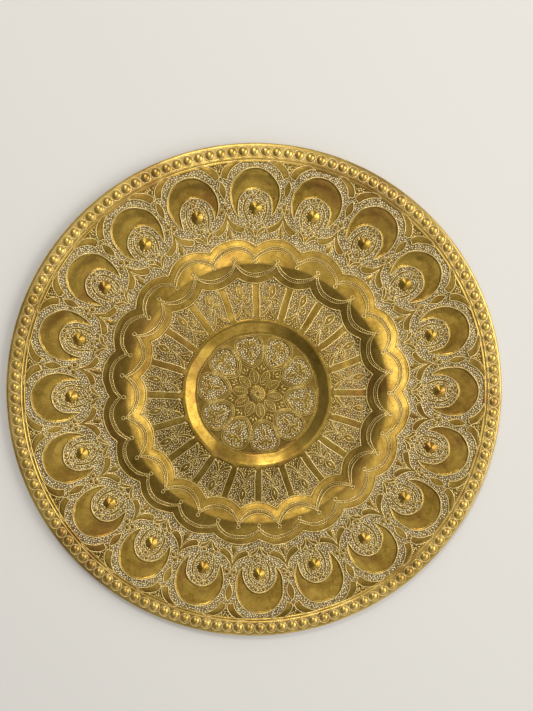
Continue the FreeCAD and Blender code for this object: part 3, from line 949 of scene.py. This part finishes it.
def aged(brass, spot, tint, rough, grain):
    """The sheet's colour, metal share, roughness and fine height."""
    ground, polish = brass.mark("ground"), brass.mark("polish")
    stain = brass.noise(spot, 17.0, 4.0, Roughness=0.6, Distortion=0.8)["Fac"]
    tint = brass.blended(brass.spread(stain, 0.52, 0.68, 0.0, 0.6), tint, RED_STAIN)
    # Tarnished ground darkens the tint, and the ground mark also carries the painted shade beside the raised
    # lines.
    tarnish_and_shade = brass.times(ground, brass.math("SUBTRACT", 0.68, brass.times(polish, 0.22)))
    tint = brass.blended(tarnish_and_shade, tint, BROWN_OF_TARNISH_AND_SHADE)
    fine = brass.noise(spot, 620.0, 3.0, Roughness=0.6)["Fac"]
    dust = brass.times(brass.spread(fine, 0.5, 0.66, 0.05, 0.5), polish)
    tint = brass.blended(dust, tint, POLISH)
    age = brass.cells(spot, 42.0)
    rare = brass.math("GREATER_THAN", brass.add("ShaderNodeSeparateColor", {"Color": age["Color"]})[0], 0.7)
    speck = brass.times(brass.spread(age["Distance"], 0.03, 0.06, 0.75, 0.0), rare)
    tint = brass.blended(speck, tint, DARK_SPECK)
    from_axis = brass.vector("LENGTH", spot)
    past_valley = brass.spread(from_axis, 0.098, 0.108)
    # Painted shade: the ridge's crest is darkened a little to tone down its highlights.
    crest_shade = brass.times(past_valley, brass.spread(from_axis, 0.124, 0.134, 0.16, 0.0))
    tint = brass.blended(crest_shade, tint, BROWN_OF_TARNISH_AND_SHADE)
    on_ridge = brass.times(past_valley, brass.spread(from_axis, 0.140, 0.150, 1.0, 0.0))
    rough = brass.math("MULTIPLY_ADD", ground, 0.12, brass.math("MULTIPLY_ADD", on_ridge, 0.1, rough))
    pits = brass.times(brass.cells(spot, 800.0)["Distance"], ground, 3.0)
    metallic = brass.math("SUBTRACT", 1.0, brass.times(dust, 0.9))
    return tint, metallic, rough, brass.math("ADD", grain, pits)


def new_brass(name, dark, light, roughness, kind):
    """Brass between two colours, for the sheet, for lines, for punch marks or for buttons."""
    brass = Material(name)
    spot = brass.add("ShaderNodeTexCoord")["Object"]
    cloud = brass.noise(spot, 26.0, 5.0, Roughness=0.62)["Fac"]
    grain = brass.noise(spot, 1100.0, 3.0)["Fac"]
    rubbed = brass.noise(spot, 95.0, 2.0, Distortion=1.5)["Fac"]
    mixed = brass.math("MULTIPLY_ADD", rubbed, 0.25, brass.times(cloud, 0.45))
    mixed = brass.math("MULTIPLY_ADD", grain, 0.3, mixed)
    tint = brass.colour(mixed, (0.38, dark), (0.6, light))
    rough = brass.spread(mixed, 0.3, 0.7, roughness + 0.07, roughness - 0.05)
    metallic, height = (0.8 if kind == "lines" else 1.0), grain
    if kind == "sheet":
        tint, metallic, rough, height = aged(brass, spot, tint, rough, grain)
    elif kind == "marks":
        patch = brass.noise(spot, 430.0, 2.0)["Fac"]
        dust = brass.times(brass.spread(patch, 0.37, 0.5), brass.mark("polish"))
        tint = brass.blended(dust, tint, WHITE_POLISH)
        metallic = brass.math("SUBTRACT", 0.7, brass.times(dust, 0.55))
    bump = brass.add("ShaderNodeBump", {"Height": height, "Distance": GRAIN_HEIGHT, "Strength": 0.5})[0]
    brass.set(Base_Color=tint, Metallic=metallic, Roughness=rough, Normal=bump)
    return brass.data


sheet_brass = new_brass("old brass sheet", (0.24, 0.14, 0.019), (0.54, 0.355, 0.072), 0.33, "sheet")
rim_brass = new_brass("polished rim", (0.44, 0.29, 0.06), (0.76, 0.54, 0.16), 0.36, "sheet")
line_brass = new_brass("rubbed brass", (0.80, 0.61, 0.22), (0.95, 0.78, 0.38), 0.40, "lines")
grain_brass = new_brass("punch marks", (0.76, 0.55, 0.16), (0.97, 0.76, 0.28), 0.36, "marks")
rope_brass = new_brass("brass of the ridge lines", (0.68, 0.51, 0.16), (0.92, 0.72, 0.30), 0.38, "lines")
egg_brass = new_brass("brass of the egg lines", (0.50, 0.36, 0.09), (0.76, 0.57, 0.20), 0.38, "lines")
button_brass = new_brass("brown brass", (0.20, 0.12, 0.025), (0.38, 0.25, 0.06), 0.36, "buttons")

# %% [markdown]
# ## The sheet, ring by ring
# The face has a cell about every half to two thirds of a millimetre where it is chased, and larger
# ones where it is plain. The four rings of the crescent band share their number of columns, so their
# edges meet point to point. Each ring starts where the one inside it ends. The medallion's first egg
# stands nine degrees anticlockwise of the first crescent.

# %% Make the rings of sheet
MEDALLION_TURN = -BETWEEN / 2
RINGS = (
    # name, inner and outer radius, rows, columns in a sector, sectors, turn of the first, drawings
    ("medallion", 0, WALL, 116, 64, EGGS, MEDALLION_TURN, [medallion]),
    ("wall_and_crest", WALL, CREST_END, 18, 36, UNITS, 0.0, [panels]),
    ("panel_ring", CREST_END, VALLEY, 64, 54, UNITS, 0.0, [panels, ridge]),
    ("ridge", VALLEY, RIDGE_END, 52, 60, UNITS, 0.0, [panels, ridge]),
    ("band_foot", RIDGE_END, LEDGE, 32, 84, UNITS, 0.0, [ridge, band]),
    ("band_bosses", LEDGE, BOSSES_END, 32, 84, UNITS, 0.0, [band]),
    ("band_crescents", BOSSES_END, FIELDS_END, 32, 84, UNITS, 0.0, [band]),
    ("band_top", FIELDS_END, BAND_END, 32, 84, UNITS, 0.0, [band]),
)
sheets = {}
for name, *shape, units, start, drawings in RINGS:
    mesh = sector_mesh(name, *shape, units, start, drawings)
    sheets[name] = made_with(ring, name, mesh, Count=units, Material=sheet_brass)

# %% [markdown]
# ## The rim
# The rim is turned from a section: two fine raised lines with a groove between them, the fall under
# the row of beads, and the roll that closes round the wire with its lip at the back.

# %% Make the rim
WIRE_REACH = 225.77
ROLL_RADIUS, ROLL_HOLLOW = RIM_RADIUS - WIRE_REACH, 1.75
RIM_LINES = ((211.6, 0.6, 0.45), (214.5, 0.6, 0.45), (213.0, -0.25, 0.8))


def turned_piece(name, section, steps, material):
    """A closed ring from a section of (radius, height) in millimetres, clockwise. Its last leg is flat."""
    section = np.asarray(section, float)
    count = len(section)
    angle = np.arange(steps) * 2 * math.pi / steps
    across = [np.outer(way(angle), section[:, 0]) for way in (np.cos, np.sin)]
    points = np.stack([*across, np.tile(section[:, 1], (steps, 1))], 2).reshape(-1, 3)
    faces, smooth = [], []
    for i in range(steps):
        here, there = i * count, (i + 1) % steps * count
        for j in range(count):
            after = (j + 1) % count
            faces.append((here + j, there + j, there + after, here + after))
            smooth.append(j < count - 1)
    return placed(name, new_mesh(name, points, (), faces, smooth, material))


def round_wire(reach, start, end, count):
    """Points round the wire, from one angle to another in degrees."""
    turns = np.linspace(math.radians(start), math.radians(end), count)
    return [(WIRE_REACH + reach * math.cos(turn), WIRE_LEVEL + reach * math.sin(turn)) for turn in turns]


across_rim = np.concatenate([np.arange(BAND_END, 215.6, 0.22), np.arange(215.6, 225.4, 0.6)])
on_rim = face_level(across_rim)
for middle, height, width in RIM_LINES:
    on_rim += height * np.exp(-((across_rim - middle) / width) ** 2)
under = across_rim[across_rim < 224.6][::-3]
rim_section = list(zip(across_rim, on_rim))
rim_section += round_wire(ROLL_RADIUS, 92, -188, 30) + round_wire(ROLL_HOLLOW, -188, 100, 22)
rim_section += zip(under, face_level(under) - THICKNESS)
rim = turned_piece("rim", rim_section[::-1], 720, rim_brass)

# %% [markdown]
# A small hole in the rim takes the hook that the dish hangs from. A cutter takes it out.

# %% Cut the hanging hole
HOLE_RADIUS, HOLE_REACH, HOLE_TURN = 1.5, 215.6, math.radians(164.7)
CUTTER_LOW, CUTTER_HIGH = 2.0, 14.0
rod = circle(HOLE_REACH * math.sin(HOLE_TURN), HOLE_REACH * math.cos(HOLE_TURN), HOLE_RADIUS, 48)[::-1]
count = len(rod)
corners = [(x, y, z) for z in (CUTTER_LOW, CUTTER_HIGH) for x, y in rod]
faces = [tuple(range(count)), tuple(range(2 * count - 1, count - 1, -1))]
faces += [(i, count + i, count + (i + 1) % count, (i + 1) % count) for i in range(count)]
cutter = placed("cutter", new_mesh("cutter", corners, faces=faces))
drill = rim.modifiers.new("drill", "BOOLEAN")
drill.operation, drill.solver, drill.object = "DIFFERENCE", "EXACT", cutter
drilled = with_modifiers("rim", rim)
rim.modifiers.clear()
rim.data = drilled
bpy.data.objects.remove(cutter)
finished(rim)

# %% [markdown]
# ## Lines, buttons and beads
# The fine lines are swept along the outlines of the drawing, half sunk in the relief. Buttons and
# beads are set on it.

# %% Meshes for lines and beads
LINE_LIFT, BUTTON_LIFT, ROW_LIFT = 0.08, -0.1, 0.05


def marked_mesh(name, flat, start, lift, edges, mark, values):
    """Points of the drawing lifted on the relief and turned to their sector, each with a value."""
    mesh = new_mesh(name, np.column_stack([turned_by(flat, start), relief(flat)[0] + lift]), edges)
    put_mark(mesh, mark, values)
    return mesh


def line_mesh(name, drawing, start=0.0):
    """The fine lines of one unit as edges, each point with its line's width."""
    edges, widths = [], []
    for outline, closed, width in drawing.lines:
        first, count = len(widths), len(outline)
        edges += [(first + i, first + i + 1) for i in range(count - 1)]
        if closed:
            edges.append((first + count - 1, first))
        widths += [width] * count
    flat = np.vstack([outline for outline, _, _ in drawing.lines])
    return marked_mesh(name, flat, start, LINE_LIFT, edges, "width", widths)


def point_mesh(name, spots, start, lift):
    """Points of one unit, each with a size."""
    spots = np.array(spots, float)
    return marked_mesh(name, spots[:, :2], start, lift, [], "size", spots[:, 2])


def row_spots(outline, pitch, size):
    """Evenly spaced spots along an outline."""
    legs = np.linalg.norm(np.diff(outline, axis=0), axis=1)
    along = np.concatenate([[0], np.cumsum(legs)])
    count = max(2, int(round(along[-1] / pitch)))
    where = (np.arange(count) + 0.5) * along[-1] / count
    return [(np.interp(w, along, outline[:, 0]), np.interp(w, along, outline[:, 1]), size) for w in where]


# %% Make the lines, buttons and beads of each zone
FINISHES = (
    ("band", band, 0.0, line_brass),
    ("ridge", ridge, 0.0, rope_brass),
    ("panel", panels, 0.0, line_brass),
    ("medallion", medallion, MEDALLION_TURN, egg_brass),
)
for name, drawing, start, finish in FINISHES:
    for x, y, radius in drawing.dots:
        drawing.line(circle(x, y, radius + 0.1, 12), closed=True, width=0.8)
    mesh = line_mesh(name + "_lines", drawing, start)
    made_with(lines, name + "_lines", mesh, Count=drawing.units, Material=finish)
    if drawing.dots:
        spots = [(x, y, radius * 0.8) for x, y, radius in drawing.dots]
        mesh = point_mesh(name, spots, start, BUTTON_LIFT)
        made_with(beads, name + "_buttons", mesh, Count=drawing.units, Detail=2, Flatness=0.3,
                  Material=button_brass)
    if drawing.rows:
        spots = [spot for row in drawing.rows for spot in row_spots(*row)] + drawing.grains
        mesh = point_mesh(name, spots, start, ROW_LIFT)
        made_with(beads, name + "_rows", mesh, Count=drawing.units, Flatness=0.9, Material=finish)

# %% [markdown]
# ### The rim's beads
# Each bead is a dome in a narrow dark groove, with a fine ring round it. They were punched one by
# one, so each is moved and sized by a hair's breadth.

# %% Beads of the rim
BEADS, BEAD_RADIUS, AROUND = 136, 220.4, 14
BEAD_PROFILE = ((1.6, 2.35), (2.9, 1.8), (3.8, 0.9), (4.2, 0.0), (4.5, 0.0), (4.5, -0.6))
BEAD_TOP, BEAD_FOOT, GROOVE_SIDE = 2.5, -0.6, 4.1

rings = Drawing(BEADS)
rings.line(circle(0, BEAD_RADIUS, 4.8, 20), turn=math.pi / 2, closed=True, width=1.05)
mesh = line_mesh("bead_rings", rings)
made_with(lines, "bead_rings", mesh, Count=BEADS, Material=line_brass)
one_bead = np.vstack([np.column_stack([circle(0, 0, reach, AROUND), np.full(AROUND, height)])
                      for reach, height in BEAD_PROFILE] + [(0, 0, BEAD_TOP), (0, 0, BEAD_FOOT)])
top, bottom = len(one_bead) - 2, len(one_bead) - 1
bead_faces = []
for i in range(AROUND):
    after = (i + 1) % AROUND
    bead_faces.append((top, i, after))
    for low in range(0, top - AROUND, AROUND):
        bead_faces.append((low + i, low + AROUND + i, low + AROUND + after, low + after))
    bead_faces.append((bottom, top - AROUND + after, top - AROUND + i))
slope = math.atan2(float(face_level(BEAD_RADIUS + 3) - face_level(BEAD_RADIUS - 3)), 6)
by_hand = np.random.default_rng(7)
points, faces = [], []
for bead in range(BEADS):
    angle = bead * 2 * math.pi / BEADS + by_hand.uniform(-0.1, 0.1) / BEAD_RADIUS
    away = BEAD_RADIUS + by_hand.uniform(-0.1, 0.1)
    size = by_hand.uniform(0.96, 1.0)
    seat = Matrix.Rotation(angle, 4, "Z") @ Matrix.Translation((away, 0, face_level(BEAD_RADIUS)))
    seat = seat @ Matrix.Rotation(-slope, 4, "Y") @ Matrix.Scale(size, 4)
    faces += [tuple(corner + len(points) for corner in face) for face in bead_faces]
    points += [tuple(seat @ Vector(point)) for point in one_bead]
bead_mesh = new_mesh("rim_beads", points, (), faces, [True] * len(faces), rim_brass)
in_groove = (np.linalg.norm(one_bead[:, :2], axis=1) > GROOVE_SIDE) & (one_bead[:, 2] > -0.1)
for mark, share in (("ground", 0.8), ("polish", 0.7)):
    put_mark(bead_mesh, mark, np.tile(share * in_groove, BEADS))
finished(placed("rim_beads", bead_mesh))

# %% Punch marks
for name, sheet in sheets.items():
    if name != "wall_and_crest":
        size = PANEL_PUNCH_SIZE if name == "panel_ring" else PUNCH_SIZE
        made_with(punch, name + "_punched", sheet.data.copy(), Material=grain_brass, Size=size)

# %% [markdown]
# ## The wire
# The wire is the construction model's own solid. Only a little of it shows at the lip of the roll.

# %% Finish the wire
iron = Material("wire iron", Metallic=1.0, Roughness=0.6)
rust = iron.noise(iron.add("ShaderNodeTexCoord")["Object"], 300.0, 5.0)["Fac"]
iron.set(Base_Color=iron.colour(rust, (0.4, (0.10, 0.09, 0.08)), (0.62, (0.22, 0.17, 0.13))))
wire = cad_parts["rim_wire"]
wire.data.materials.clear()
wire.data.materials.append(iron.data)

# %% [markdown]
# ## Floor, light and background
# The dish lies on a pale floor. A large soft window stands on the right, and a weaker one lower on
# that side. A third window and a small ceiling lamp are at the top. A dim lamp almost overhead stands
# for the rest of the room, and one at the bottom for a pale table.

# %% Stage
FLOOR_REACH, FLOOR_GAP = 3000, 0.2
LAMP_SPREAD, ROOM_LIGHT = math.radians(130), 0.21
floor_corners = [(x * FLOOR_REACH, y * FLOOR_REACH, 0) for x, y in ((-1, -1), (1, -1), (1, 1), (-1, 1))]
pale = Material("pale floor", Base_Color=(0.78, 0.77, 0.75), Roughness=0.9)
floor = placed("floor", new_mesh("floor", floor_corners, faces=[(0, 1, 2, 3)], material=pale.data))
floor.location.z = plate_low.z - FLOOR_GAP * MM


def lamp(name, azimuth, elevation, distance, size, power, tint):
    """A square soft lamp that faces the dish. The azimuth is clockwise from +Y."""
    light = bpy.data.lights.new(name, "AREA")
    light.size, light.energy, light.color = size, power, tint
    light.spread = LAMP_SPREAD
    thing = placed(name, light)
    thing.visible_camera = False
    a, e = math.radians(azimuth), math.radians(elevation)
    thing.location = Vector((math.sin(a) * math.cos(e), math.cos(a) * math.cos(e), math.sin(e))) * distance
    thing.rotation_euler = (-thing.location).to_track_quat("-Z", "Y").to_euler()


lamp("window", 80, 30, 3.0, 2.1, 30, (1.0, 0.98, 0.93))
lamp("side window", 122, 30, 3.2, 2.2, 11.5, (1.0, 0.98, 0.93))
lamp("top window", -5, 27, 3.0, 1.5, 7.5, (1.0, 0.98, 0.93))
lamp("ceiling", -10, 50, 2.6, 0.4, 8, (1.0, 0.95, 0.86))
lamp("room", 300, 82, 3.0, 2.4, 6, (1.0, 0.97, 0.92))
lamp("table", 170, 22, 3.2, 2.2, 6.2, (1.0, 0.98, 0.95))
world = bpy.data.worlds.new("soft room")
bpy.context.scene.world = world
world.use_nodes = True
air = world.node_tree.nodes["Background"]
air.inputs["Color"].default_value = (1.0, 0.98, 0.95, 1)
air.inputs["Strength"].default_value = ROOM_LIGHT
bpy.context.scene.view_settings.view_transform = "Standard"

# %% Update the scene
bpy.context.view_layer.update()
